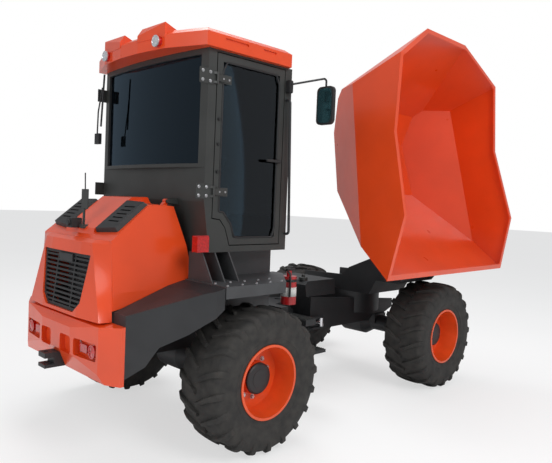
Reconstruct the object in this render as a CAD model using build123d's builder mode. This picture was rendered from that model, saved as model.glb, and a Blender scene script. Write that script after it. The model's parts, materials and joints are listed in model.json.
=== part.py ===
from build123d import *
import math
import os

os.makedirs("parts", exist_ok=True)

# Driving dimensions in millimetres, measured from the rear axle line on the ground:
# x forward, y to the left, z up. The part's origin is under the middle of its box.

# wheels
wheelbase = 2760
track = 1992
tyre_radius = 586
tyre_width = 490
tyre_sides = 32
lug_height = 26
lug_pairs = 16
lug_lead = 72
rim_radius = 300
rim_flange_out = 222
rim_wall = 12
disc_inset = 20
hub_radius = 135
spindle_radius = 60
run_gap = 0.3

# rear chassis
chassis_half = 315
chassis_plate = 25
rear_chassis_back = -1061
rear_chassis_front = 800
chassis_top = 1000
chassis_belly = 700
neck_belly = 620
axle_radius = 105

# articulation
pivot_x = 1300
yoke_top = 960
yoke_plate = 35
pivot_pin = 40
pivot_block_half = 95
trunnion_radius = 70

# front chassis
front_chassis_back = 1480
front_chassis_front = wheelbase + 280
front_belly = 640
deck_z = 1015
pedestal_radius = 400
box_top = 1180

# swivel and tip frame
swivel_x = wheelbase - 260
base_plate = 30
frame_half = 355
frame_plate = 25
frame_toe = 590
tip_angle = 80
tip_pin = 35

# skip, in its own frame: u forward from the lip, v up from the floor
lip_reach = 1394
lip_z = 1328
lip_v = 838
pivot_u = -355
pivot_v = 341
skip_wall = 10
rim_fold = 45

# tip cylinder, foot on the tip frame and eye under the skip's floor
base_r, base_h = 560, 1110
eye_u, eye_v = -1580, -85

# cab
cab_back = -400
cab_front = 540
cab_half = 800
cab_floor = 1592
cab_wall = 55
roof_base = 3205
work_lamp_y = 405
work_lamp_z = 3265
work_lamp_radius = 44
door_gap = 8
door_thick = 40
door_hinge_x = -315
door_hinge_y = 812
door_hinges = (2080, 2980)
bonnet_hinge_x = -500
bonnet_hinge_z = 1990
bonnet_hinge_y = 400

# steering cylinders
steer_y = 380
steer_z = 740
steer_base_x = 780
steer_eye_x = 1580
steer_pin = 18
steer_lug = 12
steer_gap = 48

tip = math.radians(tip_angle)


def tipped(u, v):
    """Reach to the right and height of a point of the skip as it stands."""
    rise = v - lip_v
    reach = lip_reach + u * math.cos(tip) + rise * math.sin(tip)
    return reach, lip_z - u * math.sin(tip) + rise * math.cos(tip)


# skip outline from the lip round the rim and back along the floor
rim_line = [(0, lip_v), (-583, 1063), (-1394, 998), (-2144, 1121), (-2528, 1093)]
floor_line = [(-2000, 127), (-1660, -30), (-1000, 0)]

hitch_back = -1320
lamp_seat = -1155
hitch_pin = 16
bonnet_half = 620
skip_half = 1200
centre_x = (hitch_back + swivel_x + skip_half) / 2
centre_y = (track / 2 + tyre_width / 2 - tipped(*rim_line[1])[0]) / 2


def level(z, x=0, y=0):
    """Plane at height z, seen from above."""
    return Plane(origin=(x - centre_x, y - centre_y, z), z_dir=(0, 0, 1))


def side(y):
    """Upright plane at y, drawn forward and up, extruding to the right."""
    return Plane(origin=(-centre_x, y - centre_y, 0), x_dir=(1, 0, 0), z_dir=(0, -1, 0))


def across(x):
    """Upright plane at x, drawn to the left and up, extruding forward."""
    return Plane(origin=(x - centre_x, -centre_y, 0), x_dir=(0, 1, 0), z_dir=(1, 0, 0))


def swung(w):
    """Upright plane of the swivelled frame at w, drawn outward and up, extruding back."""
    origin = (swivel_x + w - centre_x, -centre_y, 0)
    return Plane(origin=origin, x_dir=(0, -1, 0), z_dir=(-1, 0, 0))


def skip_point(u, w, v):
    """Where a point of the skip's own frame stands."""
    reach, height = tipped(u, v)
    return Vector(swivel_x + w - centre_x, -reach - centre_y, height)


def skip_side(w):
    """Plane of the skip's own frame at w, drawn forward and up, extruding back."""
    x_dir = (0, -math.cos(tip), -math.sin(tip))
    return Plane(origin=skip_point(0, w, 0), x_dir=x_dir, z_dir=(-1, 0, 0))


middle = Plane(origin=(-centre_x, -centre_y, 0), x_dir=(1, 0, 0), z_dir=(0, 1, 0))


def save(block, name):
    """Label a finished piece and write its file."""
    block.part.label = name
    export_step(block.part, "parts/" + name + ".step")


# wheels
def wheel_plane(x, hand):
    """Section plane through a wheel's axle: outward along the axle, then up."""
    origin = (x - centre_x, hand * track / 2 - centre_y, tyre_radius)
    return Plane(origin=origin, x_dir=(0, hand, 0), z_dir=(hand, 0, 0))


def carcass_line():
    """Half section of the tyre under its lugs, outward along the axle and out from it."""
    half = tyre_width / 2
    crown = tyre_radius - lug_height
    wall = [(rim_flange_out - 17, rim_radius - 8), (half, 0.76 * tyre_radius)]
    return wall + [(half - 48, crown)]


def make_tyre():
    """Rear right tyre, many-sided like its carcass's flats between the lugs."""
    plane = wheel_plane(0, -1)
    wall = carcass_line()
    half = tyre_width / 2
    with BuildPart() as tyre:
        for reach, radius in [(-reach, radius) for reach, radius in wall] + wall[::-1]:
            with BuildSketch(Plane(origin=plane.origin + plane.x_dir * reach, x_dir=(1, 0, 0), z_dir=plane.x_dir)):
                RegularPolygon(radius, tyre_sides)
        loft(ruled=True)
        with BuildSketch(Plane(origin=plane.origin - plane.x_dir * half, x_dir=(1, 0, 0), z_dir=plane.x_dir)):
            RegularPolygon(rim_radius - 8, tyre_sides, major_radius=False)
        extrude(amount=tyre_width, mode=Mode.SUBTRACT)
        top = math.sqrt(tyre_radius ** 2 - lug_lead ** 2)
        foot = tyre_radius - lug_height - 30
        for hand in (1, -1):
            seats = []
            for turn in range(lug_pairs):
                angle = 2 * math.pi * (turn + 0.25 * hand) / lug_pairs
                out = (math.cos(angle), 0, math.sin(angle))
                seats.append(Plane(origin=plane.origin, x_dir=plane.x_dir, z_dir=out).offset(foot))
            with BuildSketch(*seats):
                Polygon(
                    (hand * 8, lug_lead), (hand * 8, lug_lead - 52), (hand * (half - 8), -lug_lead),
                    (hand * (half - 8), -lug_lead + 46), align=None,
                )
            extrude(amount=top - foot)
    return tyre.part


def make_rim(x, hand, name):
    plane = wheel_plane(x, hand)
    seat = rim_radius - 8 - run_gap
    edge = rim_flange_out
    with BuildPart() as rim:
        with BuildSketch(plane):
            with BuildLine():
                Polyline(
                    (-edge, rim_radius), (-edge + 14, rim_radius), (-edge + 14, seat), (edge - 14, seat),
                    (edge - 14, rim_radius), (edge, rim_radius), (edge, seat - rim_wall),
                    (disc_inset, seat - rim_wall - 25), (disc_inset, hub_radius), (disc_inset + 60, hub_radius - 10),
                    (disc_inset + 60, 0), (disc_inset, 0), (disc_inset, spindle_radius + run_gap),
                    (disc_inset - 60, spindle_radius + run_gap), (disc_inset - 60, hub_radius),
                    (disc_inset - rim_wall, hub_radius), (disc_inset - rim_wall, seat - rim_wall - 25),
                    (-edge, seat - rim_wall), (-edge, rim_radius),
                )
            make_face()
        revolve(axis=Axis(plane.origin, plane.x_dir))
    save(rim, name)


tyre_right = make_tyre()
for hand_name, hand in (("right", -1), ("left", 1)):
    tyre_here = tyre_right if hand < 0 else mirror(tyre_right, about=middle)
    for place, wheel_x in (("rear", 0), ("front", wheelbase)):
        with BuildPart() as tyre:
            add(tyre_here.moved(Location((wheel_x, 0, 0))))
        save(tyre, "tyre_" + place + "_" + hand_name)
        make_rim(wheel_x, hand, "rim_" + place + "_" + hand_name)


# axles
def make_axle(x, pad_top, name):
    reach = track / 2 + disc_inset - run_gap
    with BuildPart() as axle:
        with BuildSketch(across(x)):
            with BuildLine():
                Polyline(
                    (0, tyre_radius), (reach, tyre_radius), (reach, tyre_radius + spindle_radius),
                    (reach - 62, tyre_radius + spindle_radius), (reach - 62, tyre_radius + 120),
                    (reach - 150, tyre_radius + 120), (reach - 170, tyre_radius + axle_radius - 10),
                    (260, tyre_radius + axle_radius - 10), (150, tyre_radius + 160), (0, tyre_radius + 160),
                    (0, tyre_radius),
                )
            make_face()
        revolve(axis=Axis((x - centre_x, 0, tyre_radius), (0, 1, 0)))
        mirror(about=middle)
        with BuildSketch(level(tyre_radius, x)):
            with Locations((0, chassis_half - 20), (0, -chassis_half + 20)):
                Rectangle(220, 90)
        extrude(amount=pad_top - tyre_radius)
    save(axle, name)


make_axle(0, chassis_belly, "rear_axle")
make_axle(wheelbase, front_belly + 60, "front_axle")

# rear chassis with the yoke that holds the pivot block
with BuildPart() as rear_chassis:
    with BuildSketch(side(chassis_half)):
        Polygon(
            (rear_chassis_back, chassis_belly), (560, chassis_belly), (680, neck_belly), (rear_chassis_front, neck_belly),
            (rear_chassis_front, chassis_top), (rear_chassis_back, chassis_top), align=None,
        )
    extrude(amount=chassis_plate)
    mirror(about=middle)
    for top in (yoke_top, neck_belly + yoke_plate):
        with BuildSketch(level(top - yoke_plate)):
            Polygon(
                (600, -chassis_half + 1), (rear_chassis_front, -chassis_half + 1), (pivot_x, -110), (pivot_x, 110),
                (rear_chassis_front, chassis_half - 1), (600, chassis_half - 1), align=None,
            )
            with Locations((pivot_x, 0)):
                Circle(110)
                Circle(pivot_pin + run_gap, mode=Mode.SUBTRACT)
        extrude(amount=yoke_plate)
    for hand in (1, -1):
        with BuildSketch(level(neck_belly + yoke_plate - 1)):
            Polygon(
                (rear_chassis_front - 1, hand * (chassis_half - chassis_plate)), (rear_chassis_front - 1, hand * 310),
                (1180, hand * 155), (1180, hand * 130), align=None,
            )
        extrude(amount=yoke_top - neck_belly - 2 * yoke_plate + 2)
        for z in (steer_z - 27 - steer_lug, steer_z + 27):
            with BuildSketch(level(z, steer_base_x)):
                Polygon(
                    (-50, hand * (chassis_half - 1)), (10, hand * (chassis_half - 1)), (22, hand * steer_y),
                    (-22, hand * steer_y), align=None,
                )
                with Locations((0, hand * steer_y)):
                    Circle(24)
            extrude(amount=steer_lug)
        with BuildSketch(level(steer_z - 27 - steer_lug, steer_base_x, hand * steer_y)):
            Circle(steer_pin)
        extrude(amount=54 + 2 * steer_lug)
    with BuildSketch(level(chassis_top - 20)):
        Polygon(
            (rear_chassis_back, -chassis_half), (rear_chassis_front, -chassis_half), (rear_chassis_front, chassis_half),
            (rear_chassis_back, chassis_half), align=None,
        )
    extrude(amount=20)
    with BuildSketch(across(rear_chassis_back)):
        with Locations((0, (chassis_belly + chassis_top) / 2)):
            Rectangle(2 * chassis_half, chassis_top - chassis_belly)
    extrude(amount=20)
save(rear_chassis, "rear_chassis")

# pivot block: upright pin through the yoke, trunnion forward into the front chassis
with BuildPart() as pivot_block:
    with BuildSketch(level(neck_belly + yoke_plate + 5, pivot_x)):
        Rectangle(2 * pivot_block_half, 2 * pivot_block_half)
    extrude(amount=yoke_top - neck_belly - 2 * yoke_plate - 10)
    with BuildSketch(level(neck_belly - 10, pivot_x)):
        Circle(pivot_pin)
    extrude(amount=yoke_top - neck_belly + 20)
    trunnion_z = (neck_belly + yoke_top) / 2
    with BuildSketch(across(pivot_x + pivot_block_half - 1)):
        with Locations((0, trunnion_z)):
            Circle(trunnion_radius)
    extrude(amount=front_chassis_back + 170 - pivot_x - pivot_block_half)
    for z in (steer_z - steer_gap - steer_lug, steer_z + steer_gap):
        for hand in (1, -1):
            with BuildSketch(level(z)):
                Polygon(
                    (1300, 0), (1470, 0), (1470, hand * 340), (1500, hand * 352), (steer_eye_x, hand * 352),
                    (steer_eye_x, hand * 408), (1420, hand * 408), (1390, hand * 95), (1300, hand * 95), align=None,
                )
                with Locations((steer_eye_x, hand * steer_y)):
                    Circle(28)
            extrude(amount=steer_lug)
save(pivot_block, "pivot_block")

# front chassis with trunnion housing and turntable pedestal
with BuildPart() as front_chassis:
    with BuildSketch(side(chassis_half)):
        Polygon(
            (front_chassis_back, front_belly), (wheelbase - 200, front_belly), (wheelbase - 120, front_belly + 60),
            (wheelbase + 120, front_belly + 60), (front_chassis_front, front_belly + 120),
            (front_chassis_front, 860), (swivel_x - 450, 955), (front_chassis_back, 1010), align=None,
        )
    extrude(amount=chassis_plate)
    mirror(about=middle)
    with BuildSketch(across(front_chassis_back)):
        with Locations((0, (front_belly + 1000) / 2)):
            Rectangle(2 * chassis_half - 1, 1000 - front_belly)
        with Locations((0, trunnion_z)):
            Circle(trunnion_radius + run_gap, mode=Mode.SUBTRACT)
    extrude(amount=30)
    with BuildSketch(across(front_chassis_back)):
        with Locations((0, trunnion_z)):
            Circle(trunnion_radius + 40)
            Circle(trunnion_radius + run_gap, mode=Mode.SUBTRACT)
    extrude(amount=160)
    with BuildSketch(level(front_belly + 60)):
        Polygon(
            (swivel_x - 600, -chassis_half + 1), (swivel_x + 90, -chassis_half + 1),
            (swivel_x + 90, chassis_half - 1), (swivel_x - 600, chassis_half - 1), align=None,
        )
    extrude(amount=20)
    with BuildSketch(level(front_belly + 120, swivel_x)):
        Circle(pedestal_radius)
        Circle(60 + run_gap, mode=Mode.SUBTRACT)
    extrude(amount=deck_z - front_belly - 120)
save(front_chassis, "front_chassis")

with BuildPart() as service_box:
    with BuildSketch(side(300)):
        Polygon(
            (front_chassis_back - 60, 1010.5), (swivel_x - 600, 1010.5), (swivel_x - 600, box_top - 20),
            (swivel_x - 620, box_top), (front_chassis_back - 40, box_top), (front_chassis_back - 80, box_top - 40),
            align=None,
        )
    extrude(amount=600)
save(service_box, "service_box")

# tip frame on the turntable, swung out to the right
frame_pivot_r, frame_pivot_h = tipped(pivot_u, pivot_v)
frame_floor = deck_z + run_gap + base_plate
with BuildPart() as tip_frame:
    with BuildSketch(level(deck_z + run_gap, swivel_x)):
        Circle(pedestal_radius)
    extrude(amount=base_plate)
    with BuildSketch(level(deck_z - 120, swivel_x)):
        Circle(60)
    extrude(amount=121)
    with BuildSketch(swung(frame_half)) as cheek:
        Polygon(
            (-380, frame_floor - 1), (frame_toe, frame_floor - 1), (frame_toe + 90, 1190), (960, 1190), (1000, 1240),
            (frame_pivot_r + 60, frame_pivot_h - 40), (frame_pivot_r - 40, frame_pivot_h + 60), (620, 1440), (300, 1300),
            (200, 1205), (-380, 1190), align=None,
        )
        with Locations((frame_pivot_r, frame_pivot_h)):
            Circle(75)
            Circle(tip_pin + run_gap, mode=Mode.SUBTRACT)
    extrude(amount=frame_plate)
    with BuildSketch(swung(-frame_half + frame_plate)):
        add(cheek.sketch_local)
    extrude(amount=frame_plate)
    with BuildSketch(swung(frame_half - 1)):
        Polygon(
            (100, frame_floor - 20), (frame_toe, frame_floor - 20), (frame_toe, frame_floor), (100, frame_floor),
            align=None,
        )
        Polygon(
            (frame_toe, frame_floor - 20), (frame_toe + 90, 1190), (frame_toe + 90, 1230), (frame_toe - 10, frame_floor),
            align=None,
        )
        Polygon((frame_toe + 90, 1190), (960, 1190), (980, 1215), (frame_toe + 90, 1215), align=None)
    extrude(amount=2 * frame_half - 2)
    for w in (52, -34):
        with BuildSketch(swung(w)):
            Polygon(
                (base_r - 45, frame_floor - 1), (base_r + 35, frame_floor - 1), (base_r + 30, base_h + 25),
                (base_r - 30, base_h + 25), align=None,
            )
        extrude(amount=18)
    with BuildSketch(swung(52)):
        with Locations((base_r, base_h)):
            Circle(22)
    extrude(amount=104)
save(tip_frame, "tip_frame")

# skip as a folded plate tub
inside = skip_point(-1200, 0, 600)


def facet(corners, hand, inset):
    """Plane through three corners of one side, facing out and moved in by inset."""
    a, b, c = [skip_point(u, hand * w, v) for u, w, v in corners]
    normal = (b - a).cross(c - a).normalized()
    if normal.dot(a - inside) < 0:
        normal = normal * -1
    return Plane(origin=a - normal * inset, z_dir=normal)


side_wall = [(0, skip_half, lip_v), (-2144, 1010, 1121), (-2010, 1000, 520)]
side_chamfer = [(-1000, 752, 0), (-840, 1110, 538), (-2010, 1000, 520)]
back_corner = [(-2144, 1010, 1121), (-2528, 406, 1093), (-2010, 1000, 520)]


def tub(outline, inset):
    """Solid of the skip's outline, cut to its side walls, chamfers and back corners."""
    with BuildPart() as block:
        with BuildSketch(skip_side(skip_half + 100)):
            Polygon(*outline, align=None)
            if inset:
                offset(amount=-inset, kind=Kind.INTERSECTION)
        extrude(amount=2 * skip_half + 200)
        for corners in (side_wall, side_chamfer, back_corner):
            for hand in (1, -1):
                split(bisect_by=facet(corners, hand, inset), keep=Keep.BOTTOM)
    return block.part


over = 400
above_lip = (over, lip_v + over * lip_v / 1000)
above_back = (-2528 - over * 528 / 966, 1093 + over)
open_line = [above_lip, (over, 1600), (-2800, 1600), above_back] + floor_line
rim_strip = rim_line + [(u, v - 12) for u, v in reversed(rim_line)]

shell = tub(rim_line + floor_line, 0) - tub(open_line, skip_wall)
rim_band = tub(rim_strip, 0) - tub(open_line, rim_fold)

with BuildPart() as skip:
    add(shell)
    add(rim_band)
    for w in (300, -270):
        with BuildSketch(skip_side(w)):
            Polygon(
                (-800, 170), (-250, 630), (-250, 400), (pivot_u + 40, pivot_v - 55), (pivot_u - 40, pivot_v - 55),
                (-760, 60), align=None,
            )
            with Locations((pivot_u, pivot_v)):
                Circle(70)
        extrude(amount=30)
    for w in (365, -269):
        with BuildSketch(skip_side(w)):
            with Locations((pivot_u, pivot_v)):
                Circle(tip_pin)
        extrude(amount=96)
    for w in (62, -44):
        with BuildSketch(skip_side(w)):
            Polygon((-1650, -29), (-1500, -22), (-1540, -112), (-1620, -112), align=None)
        extrude(amount=18)
save(skip, "skip")

# tip cylinder
eye_r, eye_h = tipped(eye_u, eye_v)
tip_length = math.hypot(eye_r - base_r, eye_h - base_h)
closed_length = math.hypot(frame_pivot_r + eye_u - pivot_u - base_r, frame_pivot_h + eye_v - pivot_v - base_h)
barrel_end = closed_length - 113
rod_start = barrel_end - 59


def along(start, end, w):
    """Plane across the tip cylinder at its foot, facing its rod eye."""
    origin = Vector(swivel_x + w - centre_x, -start[0] - centre_y, start[1])
    z_dir = (0, -(end[0] - start[0]), end[1] - start[1])
    return Plane(origin=origin, x_dir=(1, 0, 0), z_dir=z_dir)


tip_axis = along((base_r, base_h), (eye_r, eye_h), 0)
with BuildPart() as tip_barrel:
    with BuildSketch(tip_axis.offset(52)):
        Circle(52)
    extrude(amount=barrel_end - 52)
    with BuildSketch(tip_axis.offset(30)):
        Circle(30)
    extrude(amount=30)
    with BuildSketch(tip_axis.offset(60)):
        Circle(42)
    extrude(amount=barrel_end - 81, mode=Mode.SUBTRACT)
    with BuildSketch(tip_axis.offset(60)):
        Circle(29)
    extrude(amount=barrel_end - 30, mode=Mode.SUBTRACT)
    with BuildSketch(swung(30)):
        with Locations((base_r, base_h)):
            Circle(48)
    extrude(amount=60)
    with BuildSketch(swung(31)):
        with Locations((base_r, base_h)):
            Circle(22 + run_gap)
    extrude(amount=62, mode=Mode.SUBTRACT)
save(tip_barrel, "tip_barrel")

with BuildPart() as tip_rod:
    with BuildSketch(tip_axis.offset(rod_start)):
        Circle(41)
    extrude(amount=35)
    with BuildSketch(tip_axis.offset(rod_start)):
        Circle(28)
    extrude(amount=tip_length - 20 - rod_start)
    with BuildSketch(swung(40)):
        with Locations((eye_r, eye_h)):
            Circle(38)
    extrude(amount=80)
save(tip_rod, "tip_rod")

# steering cylinders
for hand_name, hand in (("right", -1), ("left", 1)):
    with BuildPart() as steering_barrel:
        with BuildSketch(across(steer_base_x + 30)):
            with Locations((hand * steer_y, steer_z)):
                Circle(42)
        extrude(amount=490)
        with BuildSketch(across(steer_base_x + 60)):
            with Locations((hand * steer_y, steer_z)):
                Circle(34)
        extrude(amount=440, mode=Mode.SUBTRACT)
        with BuildSketch(across(steer_base_x + 60)):
            with Locations((hand * steer_y, steer_z)):
                Circle(21)
        extrude(amount=480, mode=Mode.SUBTRACT)
        with BuildSketch(level(steer_z - 25, steer_base_x, hand * steer_y)):
            Circle(34)
        extrude(amount=50)
        with BuildSketch(level(steer_z - 25, steer_base_x, hand * steer_y)):
            Circle(steer_pin + run_gap)
        extrude(amount=50, mode=Mode.SUBTRACT)
    save(steering_barrel, "steering_barrel_" + hand_name)
    with BuildPart() as steering_rod:
        with BuildSketch(across(steer_base_x + 262)):
            with Locations((hand * steer_y, steer_z)):
                Circle(33)
        extrude(amount=28)
        with BuildSketch(across(steer_base_x + 262)):
            with Locations((hand * steer_y, steer_z)):
                Circle(20)
        extrude(amount=steer_eye_x - steer_base_x - 262)
        with BuildSketch(level(steer_z - steer_gap + 3, steer_eye_x, hand * steer_y)):
            Circle(32)
        extrude(amount=2 * steer_gap - 6)
    save(steering_rod, "steering_rod_" + hand_name)

# engine block on the rear chassis
with BuildPart() as engine:
    with BuildSketch(level(chassis_top, -690)):
        Rectangle(560, 620)
    extrude(amount=520)
save(engine, "engine")

# rear bumper
bumper_side = [
    (rear_chassis_back, 650), (-1150, 650), (-1215, 800), (-1215, 1000), (-1180, 1060), (rear_chassis_back, 1080),
]
bumper_half = [(rear_chassis_back, 800), (-1090, 800), (-1178, 625), (-1215, 250)]
with BuildPart() as rear_bumper:
    with BuildSketch(side(850)):
        Polygon(*bumper_side, align=None)
    extrude(amount=1700)
    with BuildSketch(level(600)):
        Polygon(*bumper_half, *[(x, -y) for x, y in reversed(bumper_half)], align=None)
    extrude(amount=520, mode=Mode.INTERSECT)
    with BuildSketch(across(-1240)):
        with Locations((450, 865), (-450, 865)):
            RectangleRounded(300, 130, 20)
    extrude(amount=1240 + lamp_seat, mode=Mode.SUBTRACT)
    with BuildSketch(across(-1240)):
        with Locations((170, 860), (-170, 860)):
            RectangleRounded(180, 140, 30)
    extrude(amount=70, mode=Mode.SUBTRACT)
save(rear_bumper, "rear_bumper")

with BuildPart() as tow_hitch:
    with BuildSketch(side(60)):
        Polygon(
            (hitch_back, 652), (-1151.3, 652), (-1202.6, 770), (hitch_back, 770), align=None,
        )
        Polygon((hitch_back - 1, 680), (-1245, 680), (-1245, 730), (hitch_back - 1, 730), align=None, mode=Mode.SUBTRACT)
    extrude(amount=120)
    with BuildSketch(level(640, hitch_back + 35)):
        Circle(hitch_pin)
    extrude(amount=150, mode=Mode.SUBTRACT)
save(tow_hitch, "tow_hitch")

# side skirts behind the rear wheels
with BuildPart() as side_skirts:
    with BuildSketch(side(-bonnet_half - 8)):
        Polygon(
            (-1061, 700), (-940, 790), (-860, 930), (-690, 1020), (-440, 1200), (-440, 1360), (-590, 1326),
            (-1061, 1160), align=None,
        )
    extrude(amount=530)
    with BuildSketch(level(600)):
        Polygon(
            (-1061, -bonnet_half - 8), (-440, -bonnet_half - 8), (-440, -1150), (-520, -1150), (-1061, -800),
            align=None,
        )
    extrude(amount=900, mode=Mode.INTERSECT)
    mirror(about=middle)
save(side_skirts, "side_skirts")

# bonnet and the cowl with the grille behind it
bonnet_back = -1070
crown_half = 240
crown_rise = 40
slope_low, slope_high = (bonnet_back, 1680), (-722, 1968)
bonnet_side = [
    (bonnet_back, 1165), (-417, 1290), (-330, 1338), (-396, 1643), (-511, 1948), slope_high, slope_low,
]


def bonnet_block(inset):
    """Bonnet's outside, or with an inset the space under it, open behind, below and in front."""
    line = bonnet_side
    if inset:
        line = [
            (-1200, 1000), (-200, 1000), (-290, 1338), (-396 + 40, 1643), (-490, 1915), (slope_high[0], 1968 - inset),
            (bonnet_back - 130, 1572 - inset),
        ]
    half = bonnet_half - inset
    with BuildPart() as block:
        with BuildSketch(side(half)):
            Polygon(*line, align=None)
        extrude(amount=2 * half)
        with BuildSketch(across(-1300)):
            Polygon(
                (-half, 900), (-half, 1300), (-half + 40, 1650), (-half + 70, 1955), (-crown_half, 2000),
                (crown_half, 2000), (half - 70, 1955), (half - 40, 1650), (half, 1300), (half, 900), align=None,
            )
        extrude(amount=1200, mode=Mode.INTERSECT)
    return block.part


with BuildPart() as bonnet:
    add(bonnet_block(0))
    with BuildSketch(side(crown_half)):
        Polygon(
            (bonnet_back + 18, 1640), (bonnet_back + 40, 1713 + crown_rise), (slope_high[0] + 12, 1968 + crown_rise),
            (-560, 1975 + crown_rise), (-516, 1948), (-700, 1900), align=None,
        )
    extrude(amount=2 * crown_half)
    add(bonnet_block(30), mode=Mode.SUBTRACT)
    for y in (-bonnet_hinge_y, bonnet_hinge_y + 40):
        with BuildSketch(side(y)):
            Polygon((-560, 1940), (-512, 1935), (-484, 1985), (-516, 1985), align=None)
            with Locations((bonnet_hinge_x, bonnet_hinge_z)):
                Circle(18)
                Circle(8 + run_gap, mode=Mode.SUBTRACT)
        extrude(amount=40)
save(bonnet, "bonnet")

grille_outline = [(-400, 1560), (400, 1560), (330, 1190), (240, 1110), (-240, 1110), (-330, 1190)]
cowl_stations = {
    1085: [(bonnet_back, 620), (-1168, 605), (-1198, 300)],
    1655: [(bonnet_back, 580), (-1130, 400), (-1140, 250)],
    1680: [(bonnet_back, 545), (-1095, 390), (-1100, 250)],
}
with BuildPart() as rear_cowl:
    for z, half_plan in cowl_stations.items():
        with BuildSketch(level(z)):
            Polygon(*half_plan, *[(x, -y) for x, y in reversed(half_plan)], align=None)
    loft(ruled=True)
    with BuildSketch(across(-1250)):
        Polygon(*grille_outline, align=None)
    extrude(amount=250, mode=Mode.SUBTRACT)
save(rear_cowl, "rear_cowl")

slat_pitch = 36
with BuildPart() as rear_grille:
    with BuildSketch(side(500)):
        Polygon((-1180, 1085), (-1160, 1085), (-1105, 1600), (-1125, 1600), align=None)
    extrude(amount=1000)
    with BuildSketch(across(-1250)):
        Polygon(*grille_outline, align=None)
        offset(amount=-0.5, kind=Kind.INTERSECTION)
    extrude(amount=250, mode=Mode.INTERSECT)
    with BuildSketch(across(-1250)):
        Polygon(*grille_outline, align=None)
        offset(amount=-26, kind=Kind.INTERSECTION)
        with Locations((0, 1335)):
            with GridLocations(0, slat_pitch, 1, 13):
                Rectangle(900, 16, mode=Mode.SUBTRACT)
        with Locations((150, 1335), (-150, 1335)):
            Rectangle(16, 600, mode=Mode.SUBTRACT)
    extrude(amount=250, mode=Mode.SUBTRACT)
save(rear_grille, "rear_grille")

# vents on the bonnet's shoulders, square to its slope
slope_dir = Vector(slope_high[0] - slope_low[0], 0, slope_high[1] - slope_low[1])
slope_origin = (slope_low[0] - centre_x, -centre_y, slope_low[1])
slope = Plane(origin=slope_origin, x_dir=slope_dir, z_dir=slope_dir.cross(Vector(0, 1, 0)))
with BuildPart() as bonnet_vents:
    with BuildSketch(slope):
        Polygon((70, crown_half + 8), (440, crown_half + 8), (430, 525), (100, 530), align=None)
    extrude(amount=38, taper=14)
    with BuildSketch(slope.offset(22)):
        with Locations((265, 400)):
            with GridLocations(44, 0, 5, 1):
                Rectangle(14, 150)
    extrude(amount=30, mode=Mode.SUBTRACT)
    mirror(about=middle)
save(bonnet_vents, "bonnet_vents")


# cab
def cab_plan(z, inset):
    """Plan of the cab with its bowed back wall."""
    half = cab_half - inset
    back = cab_back + inset
    with BuildSketch(level(z)) as plan:
        with BuildLine():
            Polyline((back, -half), (cab_front - inset, -half), (cab_front - inset, half), (back, half))
            ThreePointArc((back, half), (back - 60, 0), (back, -half))
        make_face()
    return plan.sketch


door_outline = [(-120, 1650), (450, 1650), (450, 3180), (-310, 3180), (-310, 1870), (-230, 1860), (-170, 1790)]
with BuildPart() as cab_frame:
    extrude(cab_plan(cab_floor, 0), amount=roof_base - cab_floor)
    extrude(cab_plan(cab_floor + 40, cab_wall), amount=roof_base - cab_floor, mode=Mode.SUBTRACT)
    with BuildSketch(side(cab_half + 10)):
        Polygon(
            (-600, 1500), (-335, 1500), (-335, cab_floor), (cab_back, 2000), (cab_back, 2270), (-600, 2270),
            align=None,
        )
    extrude(amount=2 * cab_half + 20, mode=Mode.SUBTRACT)
    with BuildSketch(side(cab_half)):
        Polygon(
            (-335, cab_floor), (-285, cab_floor), (cab_back + 50, 2000), (cab_back + 50, 2285), (cab_back, 2285),
            (cab_back, 2000), align=None,
        )
    extrude(amount=2 * cab_half)
    with BuildSketch(side(cab_half + 10)):
        Polygon(*door_outline, align=None)
        offset(amount=door_gap, kind=Kind.INTERSECTION)
    extrude(amount=2 * cab_half + 20, mode=Mode.SUBTRACT)
    with BuildSketch(across(cab_front - 100)):
        with Locations((0, 2440)):
            Rectangle(2 * cab_half - 180, 1380)
    extrude(amount=200, mode=Mode.SUBTRACT)
    with BuildSketch(across(cab_back - 100)):
        with Locations((0, 2730)):
            Rectangle(2 * cab_half - 160, 860)
    extrude(amount=200, mode=Mode.SUBTRACT)
    for y in (bonnet_hinge_y + 54, bonnet_hinge_y - 2, -bonnet_hinge_y + 14, -bonnet_hinge_y - 42):
        with BuildSketch(side(y)):
            Polygon((-380, 1960), (-380, 2020), (-500, 2004), (-500, 1976), align=None)
            with Locations((bonnet_hinge_x, bonnet_hinge_z)):
                Circle(16)
        extrude(amount=12)
    for y in (bonnet_hinge_y + 54, -bonnet_hinge_y + 14):
        with BuildSketch(side(y)):
            with Locations((bonnet_hinge_x, bonnet_hinge_z)):
                Circle(8)
        extrude(amount=68)
    for hand in (1, -1):
        for z in door_hinges:
            for low in (z - 46, z + 26):
                with BuildSketch(level(low)):
                    with Locations((door_hinge_x, hand * door_hinge_y)):
                        Circle(11)
                    Polygon(
                        (-350, hand * (cab_half - 1)), (-319, hand * (cab_half - 1)),
                        (door_hinge_x, hand * (door_hinge_y + 6)), (-350, hand * (cab_half + 6)), align=None,
                    )
                extrude(amount=20)
            with BuildSketch(level(z - 46)):
                with Locations((door_hinge_x, hand * door_hinge_y)):
                    Circle(6)
            extrude(amount=92)
save(cab_frame, "cab_frame")

roof_half = [(-640, 140), (-600, 480), (-460, 850), (480, 850), (570, 600)]
roof_plan = roof_half + [(x, -y) for x, y in reversed(roof_half)]


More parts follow.
